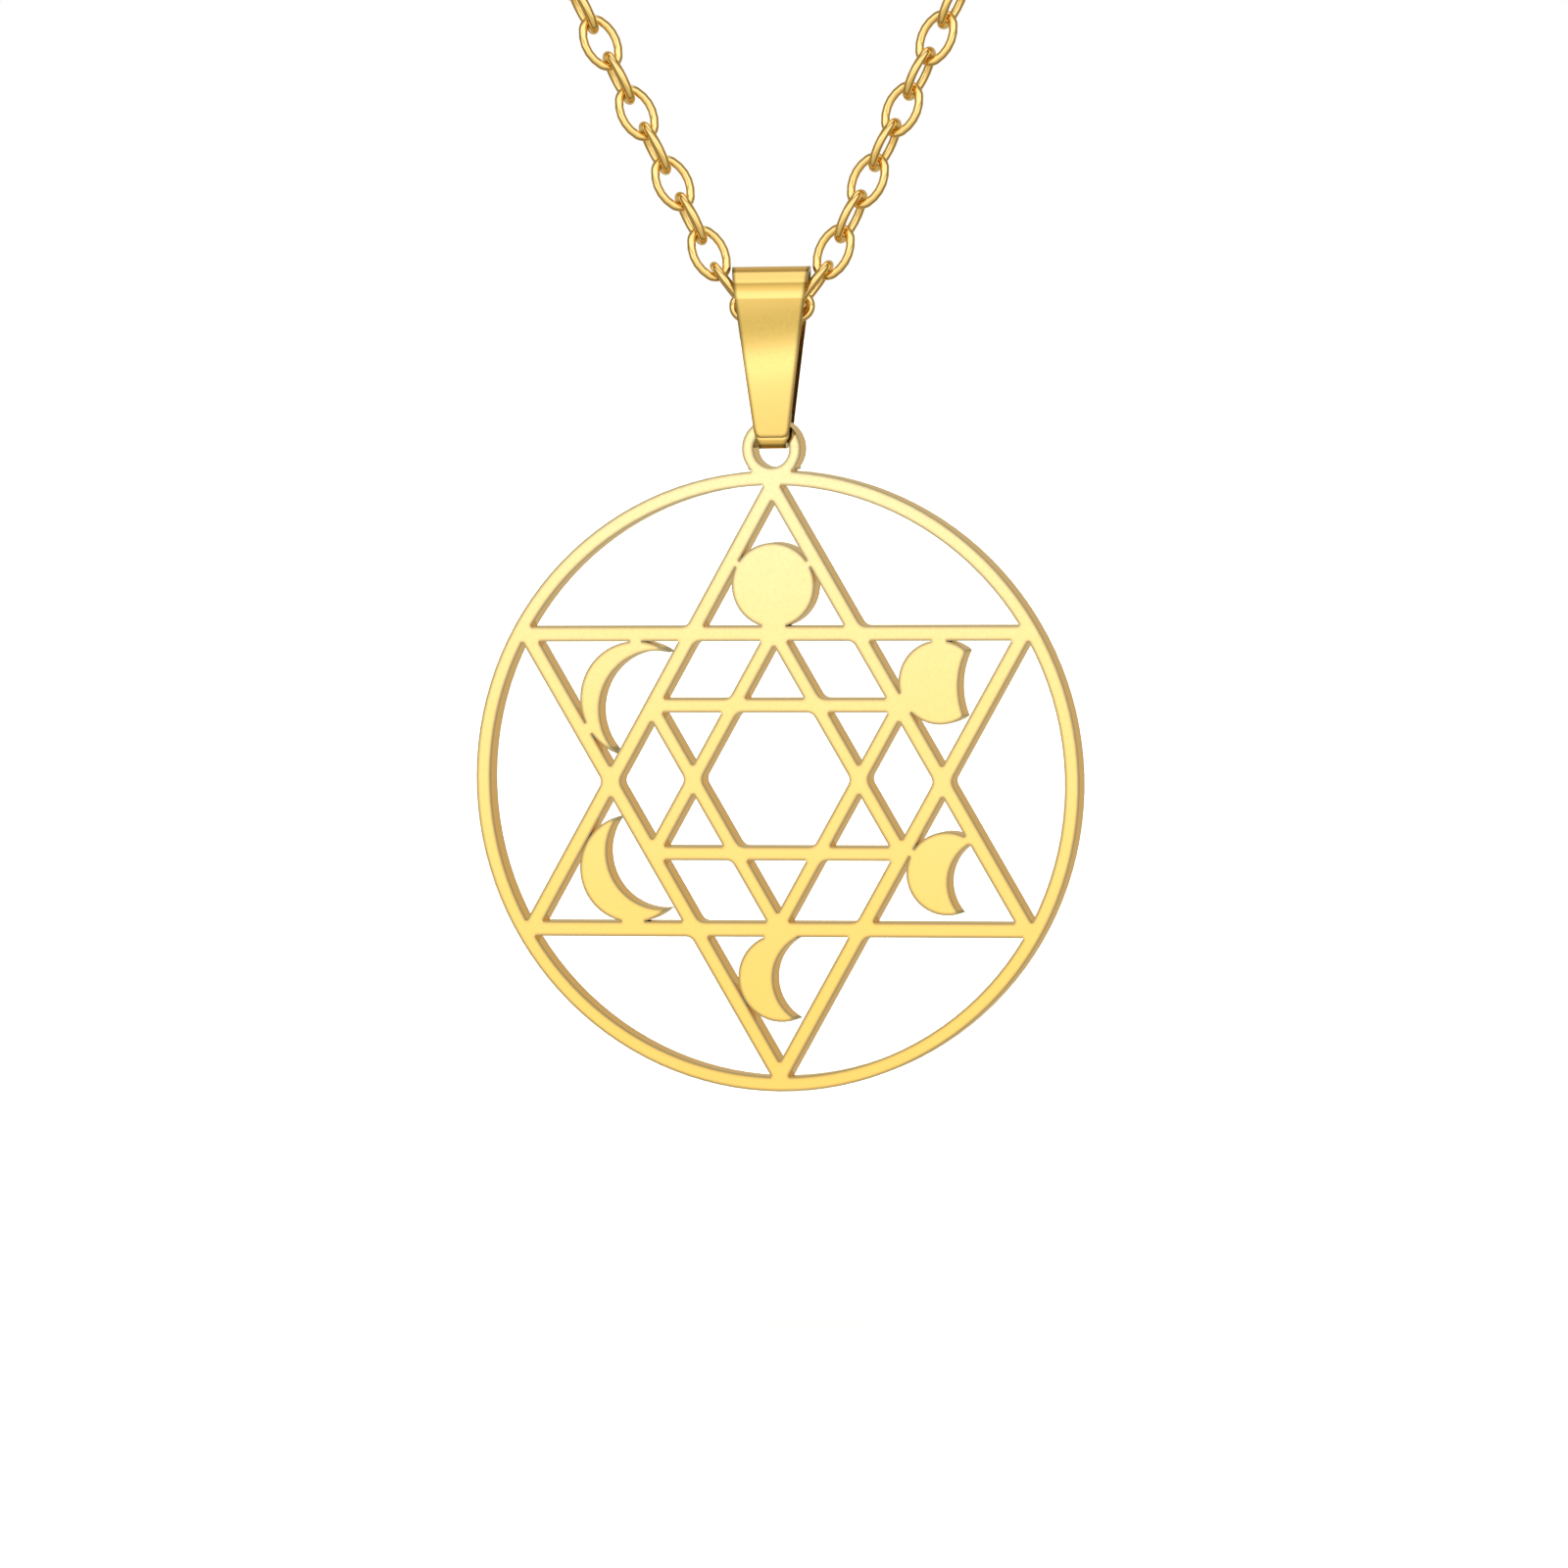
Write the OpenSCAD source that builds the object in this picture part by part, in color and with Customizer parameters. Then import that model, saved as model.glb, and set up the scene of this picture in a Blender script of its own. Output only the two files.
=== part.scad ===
/* [Disc] */
// Diameter of the flat disc
disc_d = 30; // [26:0.5:40]
// Thickness of the disc
plate_t = 1.2; // [0.8:0.05:1.4]
// Width of the outer ring
ring_w = 0.7; // [0.5:0.05:1.2]
// Width of the bars of the large star
star_bar = 0.72; // [0.5:0.02:1]
// Width of the bars of the small star
small_bar = 0.68; // [0.5:0.02:1]
// How far the middle of the small star sits above the middle of the disc
small_rise = 0.1; // [0:0.05:0.3]
// How far a full moon runs into the three bars round it
moon_lap = 0.03; // [0.02:0.01:0.2]
// Radius in the wide corners where two bars cross
cross_r = 0.45; // [0.2:0.05:0.8]

/* [Eyelet] */
// Width of the eyelet's ring on top of the disc
eye_wall = 0.55; // [0.4:0.05:1]
// How far the middle of its hole hangs below the middle of the tongue's bearing edges
tongue_up = 0.265; // [0.2:0.005:0.4]
// How far the eyelet runs into the disc
eye_lap = 0.4; // [0.2:0.05:0.5]
// Radius of the fillet between eyelet and disc
eye_fillet = 0.2; // [0.1:0.05:0.4]

/* [Bail] */
// Thickness of the strip
strip_t = 0.25; // [0.2:0.01:0.3]
// Width of the strip where it folds over the chain
strip_top = 3.75; // [3.2:0.1:4]
// Width of the lower end of the front leaf
leaf_end = 1.62; // [1.5:0.02:1.8]
// Width of the tongue that goes through the eyelet
tongue_w = 1.3; // [1.1:0.05:1.35]
// Inside radius of the fold over the chain
fold_r = 1.4; // [1.35:0.05:1.8]
// Radius of the outward bow of the front leaf
leaf_bow = 40; // [35:1:60]
// Inside radius of the two bends of the tongue
tongue_r = 0.25; // [0.2:0.05:0.3]
// Height from the middle of the fold down to the bends of the tongue
bail_drop = 6.6; // [5.5:0.1:8]
// Length of the tongue behind the front leaf
tuck = 1.2; // [0.8:0.1:2]
// Radius of the lower corners of the front leaf
leaf_corner = 0.25; // [0.1:0.05:0.4]
// How far the front leaf ends above the underside of the tongue
leaf_gap = 0.55; // [0.3:0.05:0.8]

/* [Chain] */
// Length of the whole necklace
necklace_l = 450; // [400:10:500]
// Diameter of the wire of a link
wire_d = 0.42; // [0.36:0.01:0.46]
// Outside length of a link
link_l = 2.85; // [2.7:0.01:3.1]
// Outside width of a link
link_w = 1.93; // [1.85:0.01:2.05]
// Half the angle over which the ends of a link are round
link_join = 58; // [56:1:64]
// Outside length of the longer link that lies in the bail
centre_l = 4.15; // [3.8:0.05:4.4]
// Angle from the vertical of the two links that hold it
second_angle = 37; // [34:1:42]
// Angle of the straight front runs from the vertical
run_angle = 26.5; // [24:0.5:30]
// Turn of the links about their own length
link_roll = 19; // [0:1:25]
// Radius of the bend from the front runs to the neck
bend_r = 25; // [15:1:35]

/* [Clasp] */
// Diameter of the barrel
barrel_d = 2.6; // [2:0.1:4]
// Length that the clasp takes up in the necklace
clasp_l = 10; // [8:0.5:14]
// Wire of its two eyes
clasp_wire = 0.45; // [0.4:0.01:0.5]

/* [Pose] */
// How far the disc has turned round its eyelet, seen from above
disc_turn = 10; // [0:1:12]

/* [Clearances] */
// Gap between one link and the next
link_clear = 0.11; // [0.1:0.01:0.14]
// How much closer the second links hang in the ends of the runs, for their turn there
bend_ease = 0.06; // [0:0.01:0.08]
// Gap between the ends of the fold and the links that carry it
fold_clear = 0.1; // [0.08:0.01:0.2]
// Gap between the tongue and the hole of the eyelet
eye_clear = 0.11; // [0.08:0.01:0.14]
// Gap between the tongue and the face of the disc
face_clear = 0.4; // [0.35:0.01:0.5]
// Gap between the two ends of the folded strip
tuck_clear = 0.05; // [0.03:0.01:0.1]

/* [Hidden] */
gold = [0.93, 0.76, 0.36];
round_fn = 96;
fine_fn = 360;

// Links: half lengths of the middle line, and the length that each takes up
link_a = (link_l - wire_d) / 2;
link_b = (link_w - wire_d) / 2;
flat = (1 - sin(link_join)) / cos(link_join);
link_end = (link_b - link_a * flat) / (1 - flat);
pitch = link_l - 2 * wire_d - link_clear;
// The longer link stands upright in the bail. The wire of a second link runs through its round
// end, off the middle of the rounding by what is left of the play there.
centre_a = (centre_l - wire_d) / 2;
hook = link_end - wire_d - link_clear;
second_dir = [sin(second_angle), 0, cos(second_angle)];
second_l = hook + (wire_d + link_clear) / 2 + pitch - bend_ease;
run_x = centre_a - link_end + second_l * second_dir.x;
second_roll = 97;

// The loop round the neck
run_dir = [sin(run_angle), 0, cos(run_angle)];
side_links = 2 * round((necklace_l - centre_l - 2 * second_l - clasp_l) / (4 * pitch));
clasp_half = clasp_l / 2;
side_l = side_links * pitch + clasp_half;
neck_r = (side_l + run_x / run_dir.x + bend_r - bend_r * PI / 2) / (1 / run_dir.x + PI / 2);
run_l = (neck_r - run_x) / run_dir.x - bend_r;
front_y = -(bend_r + neck_r) / 2;
run_z = -(neck_r - run_x) / tan(run_angle);
run_start = [run_x, front_y, run_z];
centre_z = run_z - second_l * second_dir.z;

// Bail: it rests with the ends of its fold on the second links of the two runs
fold_mid = fold_r + strip_t / 2;
link_half = link_b * abs(cos(second_roll)) + wire_d / 2 + fold_clear;
rest_z = run_z + (strip_top / 2 + link_half / second_dir.z - run_x) / tan(second_angle);
fold_z = rest_z - sqrt(pow(fold_r, 2) - pow(link_b * sin(second_roll), 2));
bend_mid = tongue_r + strip_t / 2;
half_depth = plate_t / 2 + face_clear;
bend_y = half_depth - tongue_r;
back_l = norm([bend_y, bail_drop]);
back_at = acos((fold_mid - bend_mid) / back_l) - atan2(bail_drop, bend_y);
// Lower end of the front leaf, and the middle of its bow
leaf_foot = [-(half_depth + 1.5 * strip_t + tuck_clear), -bail_drop - tongue_r - strip_t + leaf_gap];
bow_out = leaf_bow - fold_mid;
foot_l = norm(leaf_foot);
bow_at = atan2(leaf_foot.y, leaf_foot.x)
  + acos((pow(foot_l, 2) + pow(bow_out, 2) - pow(leaf_bow, 2)) / (2 * foot_l * bow_out));
bow_mid = [bow_out * cos(bow_at), bow_out * sin(bow_at)];
foot_at = 180 - asin((leaf_foot.y - bow_mid.y) / leaf_bow);

// Disc: heights from the tongue down
turned_half = tongue_w / 2 * cos(disc_turn) + plate_t / 2 * sin(disc_turn);
hole_r = norm([turned_half, tongue_up]) + eye_clear;
disc_r = disc_d / 2;
eye_r = hole_r + eye_wall;
eye_up = disc_r + eye_r - eye_lap;
disc_z = fold_z - bail_drop - tongue_r - tongue_up - eye_up;
star_r = disc_r - ring_w;
small_r = star_r / 2;
moon_r = star_r / 6 - star_bar / 2 + moon_lap;

// The moons, clockwise from the top. Columns: direction of the middle in degrees, its distance as
// a share of star_r, radius as a share of moon_r, then of the bite: distance from the middle as a
// share of moon_r, its direction in degrees, and radius as a share of moon_r (0 for none).
MOON_AT = 0;
MOON_OUT = 1;
MOON_R = 2;
BITE_OUT = 3;
BITE_AT = 4;
BITE_R = 5;
moons = [
  [90, 0.663, 1, 0, 0, 0],
  [30.3, 0.663, 0.99, 2.353, -2.9, 1.9],
  [-27.7, 0.666, 0.98, 1.104, -11.8, 1.06],
  [-89.2, 0.664, 1.04, 0.882, -1.7, 1.08],
  [-149.7, 0.586, 1.275, 0.806, 28.5, 1.333],
  [150, 0.557, 1.373, 0.569, -28.3, 1.41]
];

function polar(r, a) = [r * cos(a), r * sin(a)];

// One triangle of a star: the bars run round a triangle whose points lie at r
module triangle_bars(r, w, at) rotate(at) difference() {
  circle(r + w, $fn = 3);
  circle(r - w, $fn = 3);
}

module star_bars(r, w) {
  triangle_bars(r, w, 90);
  triangle_bars(r, w, -90);
}

// Fills a corner of 120 degrees at the origin, open along +X, down to the radius r
module corner_web(r) {
  touch = r / tan(60);
  difference() {
    polygon([[-r / 5, 0], polar(touch, 60), polar(touch, -60)]);
    translate([r / sin(60), 0]) circle(r, $fn = round_fn);
  }
}

// Webs in the wide corners inside and outside the six crossings of a star
module star_webs(r, w) for (a = [0:60:300]) rotate(a) {
  translate([(r + w) / sqrt(3), 0]) corner_web(cross_r);
  translate([(r - w) / sqrt(3), 0]) rotate(180) corner_web(cross_r);
}

module moon(m) translate(polar(m[MOON_OUT] * star_r, m[MOON_AT])) difference() {
  circle(m[MOON_R] * moon_r, $fn = fine_fn);
  if (m[BITE_R] > 0)
    translate(polar(m[BITE_OUT] * moon_r, m[BITE_AT])) circle(m[BITE_R] * moon_r, $fn = fine_fn);
}

// All the bars and moons inside the ring
module tracery() {
  star_bars(star_r, star_bar);
  star_webs(star_r, star_bar);
  intersection() {
    translate([0, small_rise]) {
      star_bars(small_r, small_bar);
      star_webs(small_r, small_bar);
    }
    circle((star_r + star_bar / 2) / sqrt(3), $fn = 6);
  }
  for (m = moons) moon(m);
}

// Fillets where the eyelet grows out of the rim
module eyelet_fillets() {
  rim = disc_r + 0.95 * eye_fillet;
  eye = eye_r + 0.95 * eye_fillet;
  at = acos((rim * rim + eye_up * eye_up - eye * eye) / (2 * rim * eye_up));
  x = rim * sin(at);
  y = rim * cos(at);
  difference() {
    polygon([[-x, y], [0, disc_r - ring_w / 2], [x, y], [0, eye_up]]);
    translate([-x, y]) circle(eye_fillet, $fn = round_fn);
    translate([x, y]) circle(eye_fillet, $fn = round_fn);
  }
}

module disc_outline() difference() {
  union() {
    circle(disc_r, $fn = fine_fn);
    translate([0, eye_up]) circle(eye_r, $fn = round_fn);
    eyelet_fillets();
  }
  difference() {
    circle(disc_r - ring_w, $fn = fine_fn);
    tracery();
  }
  translate([0, eye_up]) circle(hole_r, $fn = round_fn);
}

module star_disc() color(gold) translate([0, front_y, disc_z]) rotate([90, 0, -disc_turn])
  translate([0, 0, -plate_t / 2]) linear_extrude(plate_t) disc_outline();

function arc_points(mid, r, from, to, n) = [for (i = [0:n]) mid + polar(r, from + (to - from) * i / n)];

// One face of the strip in the side view, the middle of the fold at the origin and the front to
// the left: the end of the tongue, its two bends, the fold and the front leaf. It lies off the
// middle of the strip by the distance out.
function strip_face(out) = concat(
  [[-bend_y - bend_mid - out, tuck - bail_drop]],
  arc_points([-bend_y, -bail_drop], bend_mid + out, 180, 270, 12),
  arc_points([bend_y, -bail_drop], bend_mid + out, 270, 360 + back_at, 12),
  arc_points([0, 0], fold_mid + out, back_at, 180 + bow_at, 60),
  [for (p = arc_points(bow_mid, leaf_bow + out, 180 + bow_at, foot_at, 8)) if (p.y < -0.01) p]
);

module strip_side() {
  inner = strip_face(-strip_t / 2);
  polygon(concat(strip_face(strip_t / 2), [for (i = [len(inner) - 1:-1:0]) inner[i]]));
}

// Front view of the strip, in the same place: it tapers from the fold to the tongue
module strip_front() {
  top = fold_r + strip_t;
  foot = leaf_foot.y;
  low = -bail_drop - bend_mid - strip_t;
  half = [strip_top / 2, leaf_end / 2, tongue_w / 2];
  polygon([[half[0], top], [half[1], foot], [half[2], foot - (leaf_end - tongue_w)], [half[2], low],
    [-half[2], low], [-half[2], foot - (leaf_end - tongue_w)], [-half[1], foot], [-half[0], top]]);
}

// Rounds one lower corner of the front leaf
module leaf_cutter() translate([leaf_end / 2 - leaf_corner, leaf_foot.y + leaf_corner]) difference() {
  translate([0, -2 * leaf_corner]) square(2 * leaf_corner);
  circle(leaf_corner, $fn = round_fn);
}

module bail() color(gold) translate([0, front_y, fold_z]) difference() {
  intersection() {
    rotate([90, 0, 90]) translate([0, 0, -strip_top]) linear_extrude(2 * strip_top) strip_side();
    rotate([90, 0, 0]) translate([0, 0, -2 * fold_mid]) linear_extrude(4 * fold_mid) strip_front();
  }
  for (s = [0, 1]) mirror([s, 0, 0]) translate([0, leaf_foot.x - strip_t, 0]) rotate([90, 0, 0])
    translate([0, 0, -1.5 * strip_t]) linear_extrude(2 * strip_t) leaf_cutter();
}

// A round wire bent into an arc about the origin, drawn with six flats
module wire_arc(r, from, sweep) rotate(from) rotate_extrude(angle = sweep, $fn = round_fn)
  translate([r, 0]) circle(d = wire_d, $fn = 6);

// An oval link along X, lying flat: its middle line reaches out to a. The arcs of its ends run a
// little into those of its sides.
module link(a = link_a) {
  join = 90 - 2 * atan((link_b - link_end) / (a - link_end));
  side = link_end + (a - link_end) / cos(join);
  for (s = [0, 180]) rotate(s) {
    translate([a - link_end, 0]) wire_arc(link_end, -join - 1, 2 * join + 2);
    translate([0, link_b - side]) wire_arc(side, join, 180 - 2 * join);
  }
}

// The route of the right half by length: up the straight run, round the bend and round the neck
bend_s = run_l;
neck_s = bend_s + bend_r * PI / 2;
function degrees_of(s, r) = s / r * 180 / PI;
function route(s) = s < bend_s ? run_start + s * run_dir
  : s < neck_s ? bend_point(degrees_of(s - bend_s, bend_r))
  : neck_point(degrees_of(s - neck_s, neck_r));
function bend_point(t) =
  run_start + (run_l + bend_r * sin(t)) * run_dir + [0, bend_r * (1 - cos(t)), 0];
function neck_point(t) = [neck_r * cos(t), front_y + bend_r + neck_r * sin(t), 0];

// Where the face of a link that isn't rolled looks at s
function facing(s) = s < bend_s ? [0, -1, 0]
  : s < neck_s ? let (t = degrees_of(s - bend_s, bend_r)) sin(t) * run_dir - [0, cos(t), 0]
  : let (t = degrees_of(s - neck_s, neck_r)) [run_dir.x * cos(t), run_dir.x * sin(t), run_dir.z];

// Puts a link between the points p and q, its face along n and then turned by roll
module on_route(p, q, n, roll) {
  t = (q - p) / norm(q - p);
  b = cross(n, t) / norm(cross(n, t));
  face = cross(t, b) * cos(roll) + b * sin(roll);
  side = cross(face, t);
  m = (p + q) / 2;
  multmatrix([[t.x, side.x, face.x, m.x], [t.y, side.y, face.y, m.y], [t.z, side.z, face.z, m.z]])
    children();
}

module side_chain() {
  high = run_start + bend_ease * second_dir;
  on_route(high - pitch * second_dir, high, facing(0), second_roll) link();
  for (k = [1:side_links]) {
    s = k * pitch;
    on_route(route(s - pitch), route(s), facing(s - pitch / 2), link_roll + (k + 1) % 2 * 90) link();
  }
}

module chain_right() color(gold) {
  side_chain();
  translate([0, front_y, centre_z]) rotate([90, 0, 0]) link(centre_a);
}

module chain_left() color(gold) mirror([1, 0, 0]) side_chain();

// The clasp: a barrel across the nape with a level eye at each end for the last links
module clasp() color(gold) {
  end = route(side_links * pitch);
  eye_mid = 0.75;
  eye_x = end.x + (clasp_wire + link_clear) / 2 - eye_mid;
  barrel_half = eye_x - eye_mid + clasp_wire / 2;
  cone = barrel_d / 4;
  translate([0, end.y, 0]) {
    rotate([0, 90, 0]) cylinder(d = barrel_d, h = 2 * (barrel_half - cone), center = true, $fn = round_fn);
    for (s = [0, 180]) rotate([0, 0, s]) {
      translate([barrel_half - cone, 0, 0]) rotate([0, 90, 0])
        cylinder(d1 = barrel_d, d2 = barrel_d / 2, h = cone, $fn = round_fn);
      translate([eye_x, 0, 0]) rotate_extrude($fn = round_fn)
        translate([eye_mid, 0]) circle(d = clasp_wire, $fn = 24);
    }
  }
}

star_disc();
bail();
chain_left();
chain_right();
clasp();
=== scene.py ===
from math import atan2, cos, pi, radians, sin, tan

import bpy
from mathutils import Matrix, Vector


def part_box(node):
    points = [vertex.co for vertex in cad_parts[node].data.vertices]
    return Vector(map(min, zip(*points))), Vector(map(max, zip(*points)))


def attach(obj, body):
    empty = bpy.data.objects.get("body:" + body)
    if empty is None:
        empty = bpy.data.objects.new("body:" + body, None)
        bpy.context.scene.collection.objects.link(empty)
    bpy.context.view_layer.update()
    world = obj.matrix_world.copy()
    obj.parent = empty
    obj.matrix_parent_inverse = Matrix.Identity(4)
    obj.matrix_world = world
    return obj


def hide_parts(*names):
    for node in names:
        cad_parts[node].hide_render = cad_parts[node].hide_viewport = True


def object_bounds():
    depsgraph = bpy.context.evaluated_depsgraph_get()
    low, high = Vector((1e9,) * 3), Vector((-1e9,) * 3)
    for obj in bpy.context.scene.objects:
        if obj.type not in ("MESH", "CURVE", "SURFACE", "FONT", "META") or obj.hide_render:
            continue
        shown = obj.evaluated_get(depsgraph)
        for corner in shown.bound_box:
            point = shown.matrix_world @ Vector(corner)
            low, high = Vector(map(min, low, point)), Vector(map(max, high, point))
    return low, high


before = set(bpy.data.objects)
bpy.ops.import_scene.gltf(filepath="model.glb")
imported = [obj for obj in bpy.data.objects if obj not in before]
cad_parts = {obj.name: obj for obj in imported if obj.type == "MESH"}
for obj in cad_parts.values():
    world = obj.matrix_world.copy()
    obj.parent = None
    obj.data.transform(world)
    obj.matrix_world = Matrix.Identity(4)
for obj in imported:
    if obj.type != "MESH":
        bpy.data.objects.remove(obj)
cadBox = [list(corner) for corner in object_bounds()]
mm = 0.001
print("stage 1: frame loaded")


# small helpers

def deselectAll():
    if bpy.context.object and bpy.context.object.mode != "OBJECT":
        bpy.ops.object.mode_set(mode="OBJECT")
    bpy.ops.object.select_all(action="DESELECT")


def makeActive(piece):
    deselectAll()
    piece.select_set(True)
    bpy.context.view_layer.objects.active = piece


def applyModifiers(piece):
    makeActive(piece)
    for modifier in list(piece.modifiers):
        bpy.ops.object.modifier_apply(modifier=modifier.name)


def linear(hexColour):
    values = [int(hexColour[i:i + 2], 16) / 255 for i in (1, 3, 5)]
    return [v / 12.92 if v <= 0.04045 else ((v + 0.055) / 1.055) ** 2.4 for v in values] + [1]


def addNode(tree, kind, settings=None, inputs=None, links=None):
    node = tree.nodes.new(kind)
    for name, value in (settings or {}).items():
        setattr(node, name, value)
    for name, value in (inputs or {}).items():
        node.inputs[name].default_value = value
    for name, socket in (links or {}).items():
        tree.links.new(socket, node.inputs[name])
    return node


# where things hang, worked out in mm as the necklace is laid out

chain = {
    "wire": 0.42,           # thickness of a link's wire
    "linkLength": 2.85,
    "linkWidth": 1.93,
    "roundEnd": 58,         # half the angle over which a link's end is round
    "gap": 0.11,            # play between two links
    "necklace": 450,
    "spread": 26.5,         # angle of the front runs from the vertical
    "roll": 19,             # how far the links are rolled in the run
    "centreLength": 4.15,   # the longer link that lies in the bail
    "secondAngle": 37,      # angle from the vertical of the two links that hold it
    "secondRoll": 97,
    "ease": 0.06,           # how much closer those hang in the ends of the runs
    "bend": 25,             # radius where the runs turn round the neck
    "clasp": 10,
    "nearLinks": 16,        # links of a side that get a fine round wire
}
linkA = (chain["linkLength"] - chain["wire"]) / 2
linkB = (chain["linkWidth"] - chain["wire"]) / 2
flat = (1 - sin(radians(chain["roundEnd"]))) / cos(radians(chain["roundEnd"]))
endRadius = (linkB - linkA * flat) / (1 - flat)
pitch = chain["linkLength"] - 2 * chain["wire"] - chain["gap"]
spread, secondAngle = radians(chain["spread"]), radians(chain["secondAngle"])
centreA = (chain["centreLength"] - chain["wire"]) / 2
hook = endRadius - chain["wire"] - chain["gap"]
secondLength = hook + (chain["wire"] + chain["gap"]) / 2 + pitch - chain["ease"]
secondDir = Vector((sin(secondAngle), 0, cos(secondAngle)))
runX = centreA - endRadius + secondLength * secondDir.x
runDir = Vector((sin(spread), 0, cos(spread)))
bend = chain["bend"]
linkedLength = chain["necklace"] - chain["centreLength"] - 2 * secondLength - chain["clasp"]
sideLinks = 2 * round(linkedLength / (4 * pitch))
sideLength = sideLinks * pitch + chain["clasp"] / 2
neckRadius = (sideLength + runX / runDir.x + bend - bend * pi / 2) / (1 / runDir.x + pi / 2)
runLength = (neckRadius - runX) / runDir.x - bend
frontY = -(bend + neckRadius) / 2
runStart = Vector((runX, frontY, -(neckRadius - runX) / tan(spread)))
centreZ = runStart.z - secondLength * secondDir.z

discBox = [Vector(corner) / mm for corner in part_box("star_disc")]
disc = {
    "radius": 15,
    "turn": 10,             # degrees that it hangs turned about its eyelet
    "flat": 0.05,           # mm, a face that spans less than this through the plate is level
}
bail = {
    "sharp": 35,            # degrees from which a fold counts as an edge
}
discZ = discBox[0].z + disc["radius"]


# camera: almost level with the pendant, a little to its right, through a long lens

camera = {
    "yaw": 4.35,
    "pitch": 3.5,
    "roll": -0.80,
    "distance": 510.5,
    "focal": 10788,         # px of a picture 1600 px wide
    "offX": -0.2534,
    "offY": 0.148,
}


def makeCamera():
    yaw, pitchDown, roll = (radians(camera[name]) for name in ("yaw", "pitch", "roll"))
    forward = Vector((-sin(yaw) * cos(pitchDown), cos(yaw) * cos(pitchDown), -sin(pitchDown)))
    right = Vector((cos(yaw), sin(yaw), 0))
    up = right.cross(forward)
    right, up = cos(roll) * right + sin(roll) * up, cos(roll) * up - sin(roll) * right
    aim = Vector((0, frontY, discZ))
    place = aim - (forward * camera["distance"] + right * camera["offX"] + up * camera["offY"])
    deselectAll()
    bpy.ops.object.camera_add()
    eye = bpy.context.object
    eye.name = "camera"
    eye.matrix_world = Matrix((
        (right.x, up.x, -forward.x, place.x * mm),
        (right.y, up.y, -forward.y, place.y * mm),
        (right.z, up.z, -forward.z, place.z * mm),
        (0, 0, 0, 1),
    ))
    eye.data.sensor_width = 36
    eye.data.lens = camera["focal"] / 1600 * eye.data.sensor_width
    eye.data.clip_start = 0.01
    eye.data.clip_end = 20
    bpy.context.scene.camera = eye
    print("camera made")


makeCamera()
bpy.context.scene.view_settings.view_transform = "Standard"


# materials

goldFinish = {
    "patchy": 0.12,         # how much the coat varies from place to place
    "edgeShadeStrength": 0.8,        # how dark the painted shade line along the edges is
    "grain": 0.15,          # mm between the finest polishing marks that still show
    "wave": 3.5,            # mm between the swells that hand polishing leaves
    "bump": 0.25,
    # painted lit colour above and painted shaded colour below, roughness, height of the swells in mm, width
    # in mm and colour of the painted edge shade line
    "disc": ("#FFE3B0", "#FFD072", 0.13, 0.003, 0.2, "#666E58"),
    "bail": ("#FFDD8C", "#FFDD8C", 0.13, 0.003, 0.22, "#463F22"),
    "chain": ("#FFE09C", "#FFE09C", 0.09, 0.001, 0, "#000000"),
}


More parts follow.
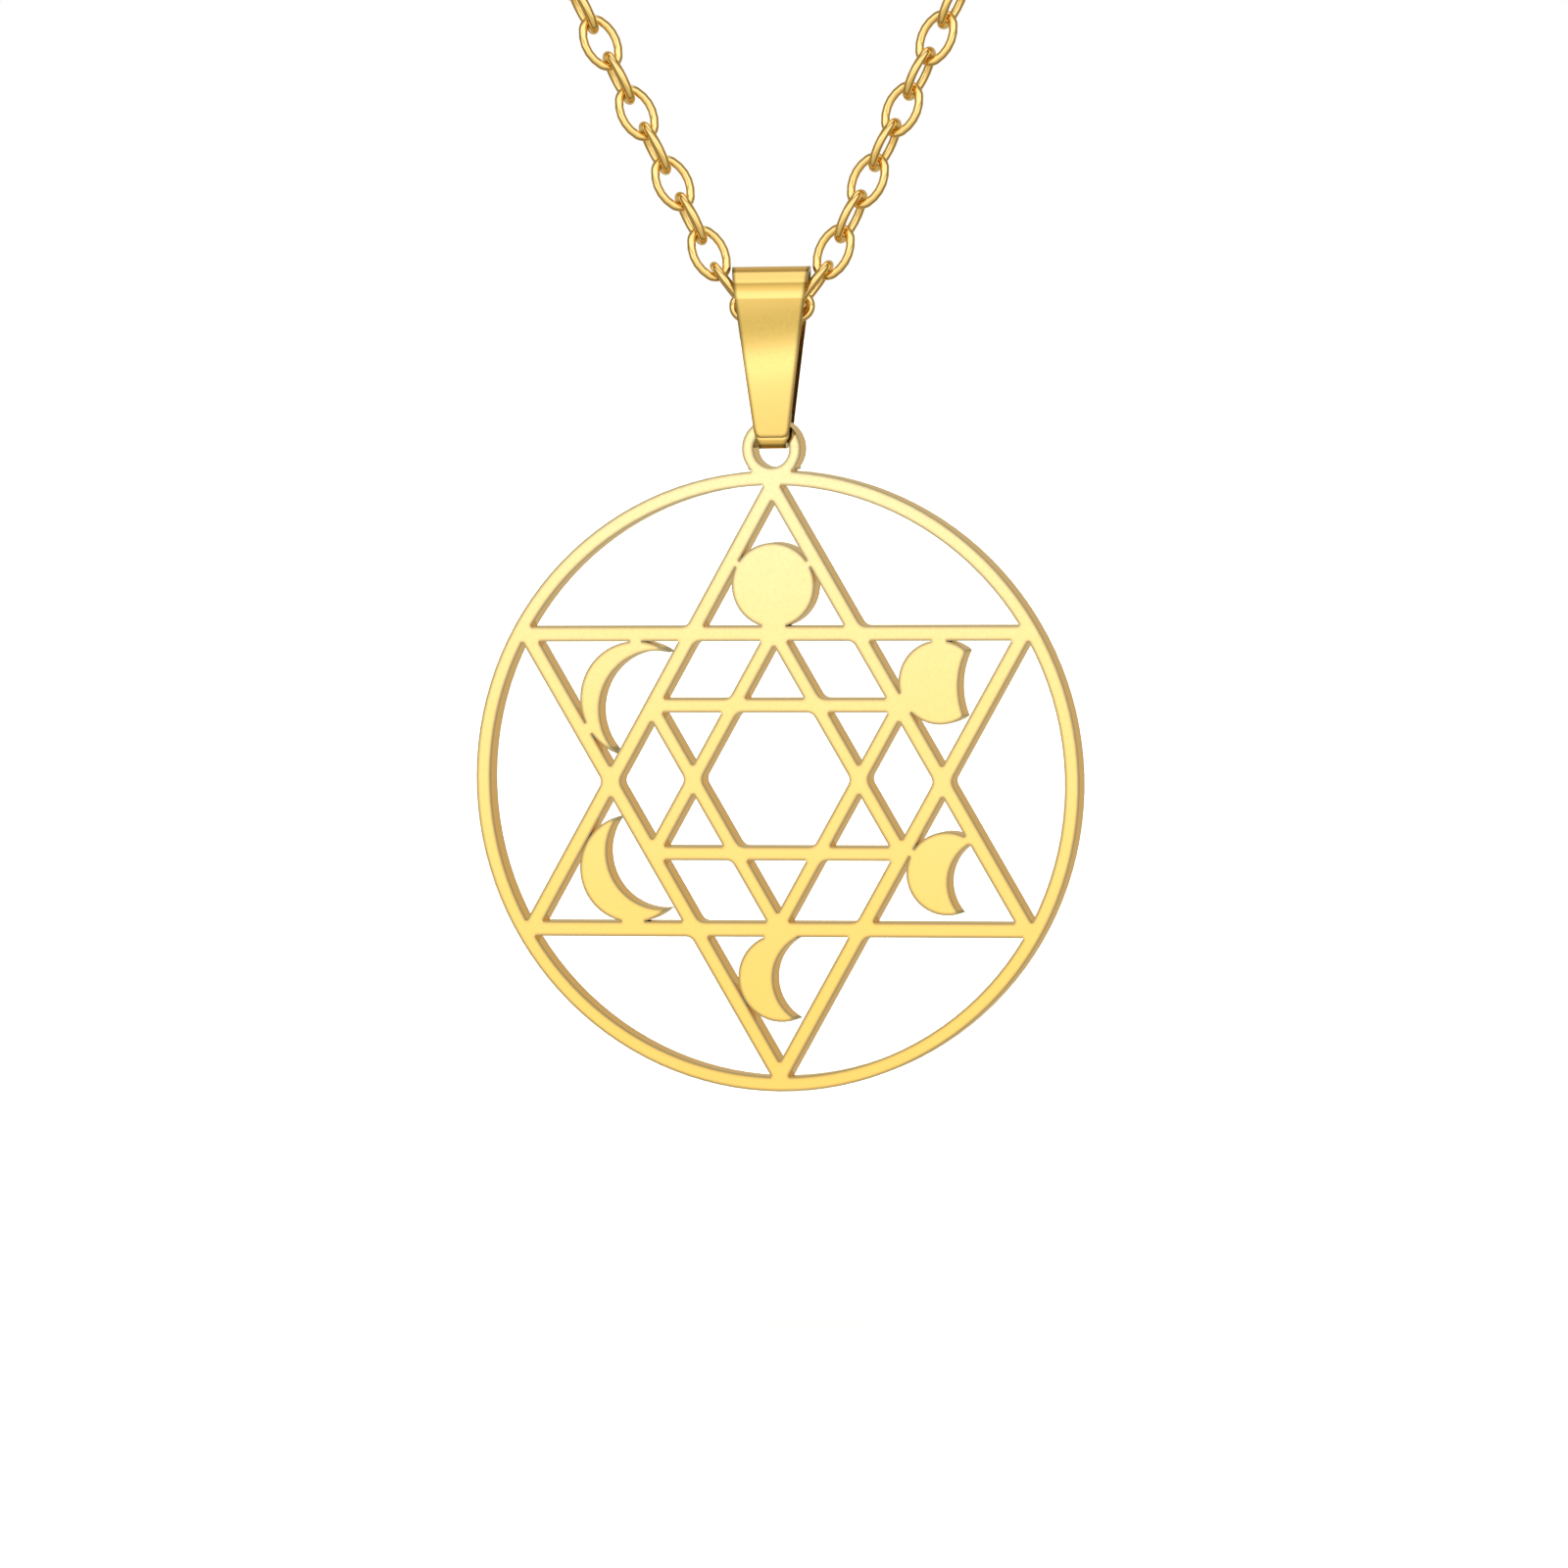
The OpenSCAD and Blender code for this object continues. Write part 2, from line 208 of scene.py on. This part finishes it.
def polishedGold(name, paleLitAbove, deepShadedBelow, roughness, waveHeight, edgeWidth, edgeShade):
    # Gold PVD coating on polished stainless steel: a hard thin gold skin over a buffed sheet. It mirrors
    # the studio softly, with faint buffing marks and a colour a little deeper in random patches where the
    # coat is thicker. Painted light makes the colour paler towards the top of the disc and deeper towards
    # the bottom.
    coat = bpy.data.materials.new(name)
    coat.use_nodes = True
    tree = coat.node_tree
    tree.nodes.clear()
    place = addNode(tree, "ShaderNodeTexCoord")
    swell = addNode(tree, "ShaderNodeTexNoise", inputs={
        "Scale": 1 / (goldFinish["wave"] * mm), "Detail": 1.5, "Roughness": 0.4,
    }, links={"Vector": place.outputs["Object"]})
    buff = addNode(tree, "ShaderNodeTexNoise", inputs={
        "Scale": 1 / (goldFinish["grain"] * mm), "Detail": 2.0, "Roughness": 0.5,
    }, links={"Vector": place.outputs["Object"]})
    # painted light: the colour is paler towards the top of the disc and deeper towards the bottom, standing
    # in for the brighter light its face mirrors above
    upDown = addNode(tree, "ShaderNodeSeparateXYZ", links={"Vector": place.outputs["Object"]})
    height = addNode(tree, "ShaderNodeMapRange", inputs={
        "From Min": (discZ - disc["radius"]) * mm, "From Max": (discZ + disc["radius"]) * mm,
    }, links={"Value": upDown.outputs["Z"]})
    paintedTopLight = addNode(tree, "ShaderNodeMath", {"operation": "POWER"}, links={0: height.outputs["Result"]})
    paintedTopLight.inputs[1].default_value = 2
    patchesAndTopLight = addNode(tree, "ShaderNodeMath", {"operation": "MULTIPLY_ADD"}, links={0: swell.outputs["Fac"]})
    patchesAndTopLight.inputs[1].default_value = goldFinish["patchy"]
    tree.links.new(paintedTopLight.outputs["Value"], patchesAndTopLight.inputs[2])
    tint = addNode(tree, "ShaderNodeMix", {"data_type": "RGBA"}, links={
        "Factor": patchesAndTopLight.outputs["Value"],
    })
    tint.inputs[6].default_value = linear(deepShadedBelow)
    tint.inputs[7].default_value = linear(paleLitAbove)
    gloss = addNode(tree, "ShaderNodeMapRange", inputs={
        "From Min": 0.3, "From Max": 0.7, "To Min": roughness * 0.85, "To Max": roughness * 1.15,
    }, links={"Value": buff.outputs["Fac"]})
    dents = addNode(tree, "ShaderNodeBump", inputs={
        "Strength": goldFinish["bump"], "Distance": waveHeight * mm,
    }, links={"Height": swell.outputs["Fac"]})
    colour = tint.outputs[2]
    if edgeWidth:
        # painted shade: a thin darker line is painted along the edges, standing in for the tumbled edges
        # turning away from the light
        nearEdge = addNode(tree, "ShaderNodeAmbientOcclusion", {
            "samples": 8, "inside": True, "only_local": True,
        }, {"Distance": edgeWidth * mm})
        line = addNode(tree, "ShaderNodeMapRange", inputs={
            "From Min": 0.62, "From Max": 0.97, "To Min": goldFinish["edgeShadeStrength"], "To Max": 0,
        }, links={"Value": nearEdge.outputs["AO"]})
        lined = addNode(tree, "ShaderNodeMix", {"data_type": "RGBA"}, links={
            "Factor": line.outputs["Result"],
        })
        tree.links.new(colour, lined.inputs[6])
        lined.inputs[7].default_value = linear(edgeShade)
        colour = lined.outputs[2]
    shader = addNode(tree, "ShaderNodeBsdfPrincipled", inputs={"Metallic": 1.0}, links={
        "Base Color": colour,
        "Roughness": gloss.outputs["Result"],
        "Normal": dents.outputs["Normal"],
    })
    addNode(tree, "ShaderNodeOutputMaterial", links={"Surface": shader.outputs["BSDF"]})
    return coat


discGold = polishedGold("discGoldCoat", *goldFinish["disc"])
chainGold = polishedGold("wireGoldCoat", *goldFinish["chain"])
bailGold = polishedGold("bailGoldCoat", *goldFinish["bail"])
print("stage 2: materials made")


# disc and bail: the cut plate and the folded strip

def copyOf(node, name, coat):
    deselectAll()
    source = bpy.data.objects[node]
    piece = source.copy()
    piece.data = source.data.copy()
    piece.name = name
    bpy.context.scene.collection.objects.link(piece)
    makeActive(piece)
    bpy.ops.mesh.customdata_custom_splitnormals_clear()  # they don't fit the merged mesh
    bpy.ops.object.mode_set(mode="EDIT")
    bpy.ops.mesh.select_all(action="SELECT")
    bpy.ops.mesh.remove_doubles(threshold=0.0005 * mm)
    bpy.ops.mesh.normals_make_consistent(inside=False)
    bpy.ops.object.mode_set(mode="OBJECT")
    bpy.ops.object.shade_smooth()
    piece.data.materials.clear()
    piece.data.materials.append(coat)
    return piece


def makeDisc():
    # both faces of the plate are dead flat, the walls of the cut-outs are shaded as they curve
    piece = copyOf("star_disc", "starDisc", discGold)
    turn = radians(disc["turn"])
    across = Vector((sin(turn), cos(turn), 0))
    bpy.ops.object.shade_smooth_by_angle(angle=radians(30))
    corners = piece.data.vertices
    for face in piece.data.polygons:
        depths = [corners[index].co.dot(across) for index in face.vertices]
        if max(depths) - min(depths) < disc["flat"] * mm:
            face.use_smooth = False
    return piece


def makeBail():
    piece = copyOf("bail", "foldedBail", bailGold)
    bpy.ops.object.shade_smooth_by_angle(angle=radians(bail["sharp"]))
    even = piece.modifiers.new("evenShade", "WEIGHTED_NORMAL")
    even.keep_sharp = True
    applyModifiers(piece)
    return piece


starDisc = makeDisc()
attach(starDisc, "disc")
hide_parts("star_disc")
foldedBail = makeBail()
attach(foldedBail, "bail")
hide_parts("bail")
print("stage 3: disc and bail made")


# chain: one bent and soldered link, copied along the two halves of the necklace

def makeLink(name, reach, wireSides, endSteps, sideSteps):
    join = pi / 2 - 2 * atan2(linkB - endRadius, reach - endRadius)
    sideRadius = endRadius + (reach - endRadius) / cos(join)
    deselectAll()
    bpy.ops.mesh.primitive_circle_add(
        vertices=wireSides, radius=chain["wire"] / 2 * mm, location=(reach * mm, 0, 0),
        rotation=(pi / 2, 0, 0))
    link = bpy.context.object
    link.name = name
    bpy.ops.object.transform_apply(location=True, rotation=True, scale=True)
    bpy.ops.object.mode_set(mode="EDIT")
    bpy.ops.mesh.select_all(action="SELECT")
    sideTurn = pi - 2 * join
    bends = [
        (reach - endRadius, 0, join, endSteps),
        (0, linkB - sideRadius, sideTurn, sideSteps),
        (endRadius - reach, 0, 2 * join, 2 * endSteps),
        (0, sideRadius - linkB, sideTurn, sideSteps),
        (reach - endRadius, 0, join, endSteps),
    ]
    for x, y, turn, steps in bends:  # the wire is bent round its four middles in turn
        bpy.ops.mesh.spin(steps=steps, angle=turn, center=(x * mm, y * mm, 0), axis=(0, 0, -1))
    bpy.ops.mesh.select_all(action="SELECT")
    bpy.ops.mesh.remove_doubles(threshold=0.001 * mm)
    bpy.ops.mesh.normals_make_consistent(inside=False)
    bpy.ops.object.mode_set(mode="OBJECT")
    bpy.ops.object.shade_smooth()
    return link


def routePoint(s):
    if s < runLength:
        return runStart + s * runDir
    if s < runLength + bend * pi / 2:
        t = (s - runLength) / bend
        return runStart + (runLength + bend * sin(t)) * runDir + Vector((0, bend * (1 - cos(t)), 0))
    t = (s - runLength - bend * pi / 2) / neckRadius
    return Vector((neckRadius * cos(t), frontY + bend + neckRadius * sin(t), 0))


def routeFacing(s):
    if s < runLength:
        return Vector((0, -1, 0))
    if s < runLength + bend * pi / 2:
        t = (s - runLength) / bend
        return sin(t) * runDir - Vector((0, cos(t), 0))
    t = (s - runLength - bend * pi / 2) / neckRadius
    return Vector((runDir.x * cos(t), runDir.x * sin(t), runDir.z))


def linkPlace(low, high, facing, rollDegrees, sideSign):
    roll = radians(rollDegrees)
    along = (high - low).normalized()
    across = facing.cross(along).normalized()
    face = along.cross(across) * cos(roll) + across * sin(roll)
    middle = (low + high) / 2
    for v in (along, face, middle):
        v.x *= sideSign
    side = face.cross(along)
    return Matrix((
        (along.x, side.x, face.x, middle.x * mm),
        (along.y, side.y, face.y, middle.y * mm),
        (along.z, side.z, face.z, middle.z * mm),
        (0, 0, 0, 1),
    ))


def placeLink(link, place):
    oneLink = link.copy()
    oneLink.data = link.data.copy()
    oneLink.matrix_world = place
    bpy.context.scene.collection.objects.link(oneLink)
    return oneLink


def makeNecklaceHalf(name, sideSign, centreLink, fineLink, plainLink):
    high = runStart + chain["ease"] * secondDir
    second = linkPlace(high - pitch * secondDir, high, routeFacing(0), chain["secondRoll"], sideSign)
    links = [placeLink(fineLink, second)]
    for index in range(1, sideLinks + 1):
        s = index * pitch
        roll = chain["roll"] + (index + 1) % 2 * 90
        place = linkPlace(routePoint(s - pitch), routePoint(s), routeFacing(s - pitch / 2), roll, sideSign)
        links.append(placeLink(fineLink if index <= chain["nearLinks"] else plainLink, place))
    if centreLink:  # it stands upright inside the fold of the bail
        upright = Matrix.Rotation(pi / 2, 4, "X")
        links.append(placeLink(centreLink, Matrix.Translation((0, frontY * mm, centreZ * mm)) @ upright))
    deselectAll()
    for oneLink in links:
        oneLink.select_set(True)
    bpy.context.view_layer.objects.active = links[0]
    bpy.ops.object.join()
    half = bpy.context.object
    half.name = name
    bpy.ops.object.transform_apply(location=True, rotation=True, scale=True)
    half.data.materials.clear()
    half.data.materials.append(chainGold)
    return half


fineLink = makeLink("fineLink", linkA, 12, 6, 5)
centreLink = makeLink("centreLink", centreA, 12, 6, 5)
plainLink = makeLink("plainLink", linkA, 6, 2, 2)
leftChain = makeNecklaceHalf("leftChain", -1, None, fineLink, plainLink)
rightChain = makeNecklaceHalf("rightChain", 1, centreLink, fineLink, plainLink)
for spare in (fineLink, centreLink, plainLink):
    bpy.data.objects.remove(spare)
for piece, node in ((leftChain, "chain_left"), (rightChain, "chain_right")):
    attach(piece, "chain")
    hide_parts(node)
print("stage 4: chain made")

claspNode = bpy.data.objects["clasp"]
claspNode.data.materials.clear()
claspNode.data.materials.append(chainGold)


# floor, studio and light

studio = {
    "floorGap": 12,         # mm of air under the pendant
    "floorRadius": 2.5,     # m
    "sun": 3.0,             # lights the floor alone
    "sunAngle": 60,
    # brightness and colour of the room: the dark beside the necklace draws its edges
    "sides": (0.27, "#EAD8A2"),
    "behind": (0.36, "#FFE9C4"),
    "overhead": (0.85, "#FFFDF8"),
    # how far a direction leans each way where these parts begin and where they are full
    "frontReach": (0.1, 0.7),
    "behindReach": (0.25, 0.85),
    "overheadReach": (0.87, 0.94),
    # what stands in front: degrees above the horizon, brightness, colour
    "front": [
        (-90, 0.35, "#FFF2D0"), (-20, 0.6, "#FFF2D0"), (-11, 0.9, "#FFF9E6"), (-5.2, 0.96, "#FFFCF2"),
        (-3.3, 1.2, "#FFFFFF"), (-1.2, 1.3, "#FFFFFF"), (-0.3, 1.15, "#FFFFFF"), (0.8, 0.55, "#FFFDD2"),
        (4.5, 0.38, "#FFFDD2"), (7.5, 0.85, "#FFF8E8"), (12, 1.12, "#FFFFFF"), (28, 1.05, "#FFFFFF"),
        (44, 0.72, "#FFF6D8"), (90, 0.4, "#FFF6D8"),
    ],
}


def makeFloor():
    deselectAll()
    bpy.ops.mesh.primitive_circle_add(
        vertices=96, radius=studio["floorRadius"], fill_type="NGON",
        location=(0, 0, cadBox[0][2] - studio["floorGap"] * mm))
    floor = bpy.context.object
    floor.name = "floor"
    bpy.ops.object.transform_apply(location=True, rotation=True, scale=True)
    paint = bpy.data.materials.new("floorWhitePaint")
    paint.use_nodes = True
    shader = paint.node_tree.nodes["Principled BSDF"]
    shader.inputs["Base Color"].default_value = linear("#FBFBFA")
    shader.inputs["Roughness"].default_value = 0.9
    shader.inputs["Specular IOR Level"].default_value = 0.1
    floor.data.materials.append(paint)
    floor.visible_glossy = False  # the metal mirrors the room alone


def makeRoom():
    world = bpy.data.worlds.new("studio")
    bpy.context.scene.world = world
    world.use_nodes = True
    tree = world.node_tree
    tree.nodes.clear()
    look = addNode(tree, "ShaderNodeTexCoord")
    ways = addNode(tree, "ShaderNodeSeparateXYZ", links={"Vector": look.outputs["Generated"]})
    brightest = max(light for _, light, _ in studio["front"])

    def band(socket, low, high):  # rises smoothly from 0 at low to 1 at high
        return addNode(tree, "ShaderNodeMapRange", {"interpolation_type": "SMOOTHSTEP"}, inputs={
            "From Min": low, "From Max": high}, links={"Value": socket}).outputs["Result"]

    def glow(mask, light, colour):  # a colour where the mask is 1
        node = addNode(tree, "ShaderNodeVectorMath", {"operation": "SCALE"}, links={"Scale": mask})
        if isinstance(colour, str):
            node.inputs[0].default_value = [light * value for value in linear(colour)[:3]]
        else:
            tree.links.new(colour, node.inputs[0])
        return node.outputs["Vector"]

    height = addNode(tree, "ShaderNodeMapRange", inputs={"From Min": -1, "From Max": 1},
                     links={"Value": ways.outputs["Z"]})
    wall = addNode(tree, "ShaderNodeValToRGB", links={"Fac": height.outputs["Result"]})
    stops = wall.color_ramp.elements
    while len(stops) > 1:
        stops.remove(stops[-1])
    for number, (degreesUp, light, colour) in enumerate(studio["front"]):
        place = (sin(radians(degreesUp)) + 1) / 2
        stop = stops[0] if number == 0 else stops.new(place)
        stop.position = place
        stop.color = [light / brightest * value for value in linear(colour)[:3]] + [1]
    backward = addNode(tree, "ShaderNodeMath", {"operation": "MULTIPLY"}, links={0: ways.outputs["Y"]})
    backward.inputs[1].default_value = -1
    frontMask = band(backward.outputs["Value"], *studio["frontReach"])
    total = addNode(tree, "ShaderNodeVectorMath", {"operation": "SCALE"}, links={
        0: glow(frontMask, 1, wall.outputs["Color"])})
    total.inputs["Scale"].default_value = brightest
    for axis, part in (("Y", "behind"), ("Z", "overhead")):
        mask = band(ways.outputs[axis], *studio[part + "Reach"])
        total = addNode(tree, "ShaderNodeVectorMath", {"operation": "ADD"}, links={
            0: total.outputs["Vector"], 1: glow(mask, *studio[part])})
    sides, sidesColour = studio["sides"]
    total = addNode(tree, "ShaderNodeVectorMath", {"operation": "ADD"}, links={0: total.outputs["Vector"]})
    total.inputs[1].default_value = [sides * value for value in linear(sidesColour)[:3]]
    rays = addNode(tree, "ShaderNodeLightPath")
    seen = addNode(tree, "ShaderNodeBackground", inputs={"Color": (1, 1, 1, 1), "Strength": 1.0})
    lit = addNode(tree, "ShaderNodeBackground", inputs={"Strength": 1.0},
                  links={"Color": total.outputs["Vector"]})
    both = addNode(tree, "ShaderNodeMixShader", links={
        0: rays.outputs["Is Camera Ray"], 1: lit.outputs["Background"], 2: seen.outputs["Background"]})
    addNode(tree, "ShaderNodeOutputWorld", links={"Surface": both.outputs["Shader"]})


def addLamp(kind, name, place, aim):
    deselectAll()
    bpy.ops.object.light_add(type=kind)
    lamp = bpy.context.object
    lamp.name = name
    turn = (Vector(aim) - Vector(place)).to_track_quat("-Z", "Y")
    lamp.matrix_world = Matrix.Translation(place) @ turn.to_matrix().to_4x4()
    lamp.visible_camera = False
    return lamp


def makeLights():
    middle = Vector((0, frontY, discZ)) * mm
    sun = addLamp("SUN", "floorSun", middle + Vector((0, 0, 1)), middle)
    sun.data.energy = studio["sun"]
    sun.data.angle = radians(studio["sunAngle"])
    sun.visible_glossy = False


makeFloor()
makeRoom()
makeLights()
print("stage 5: studio made")
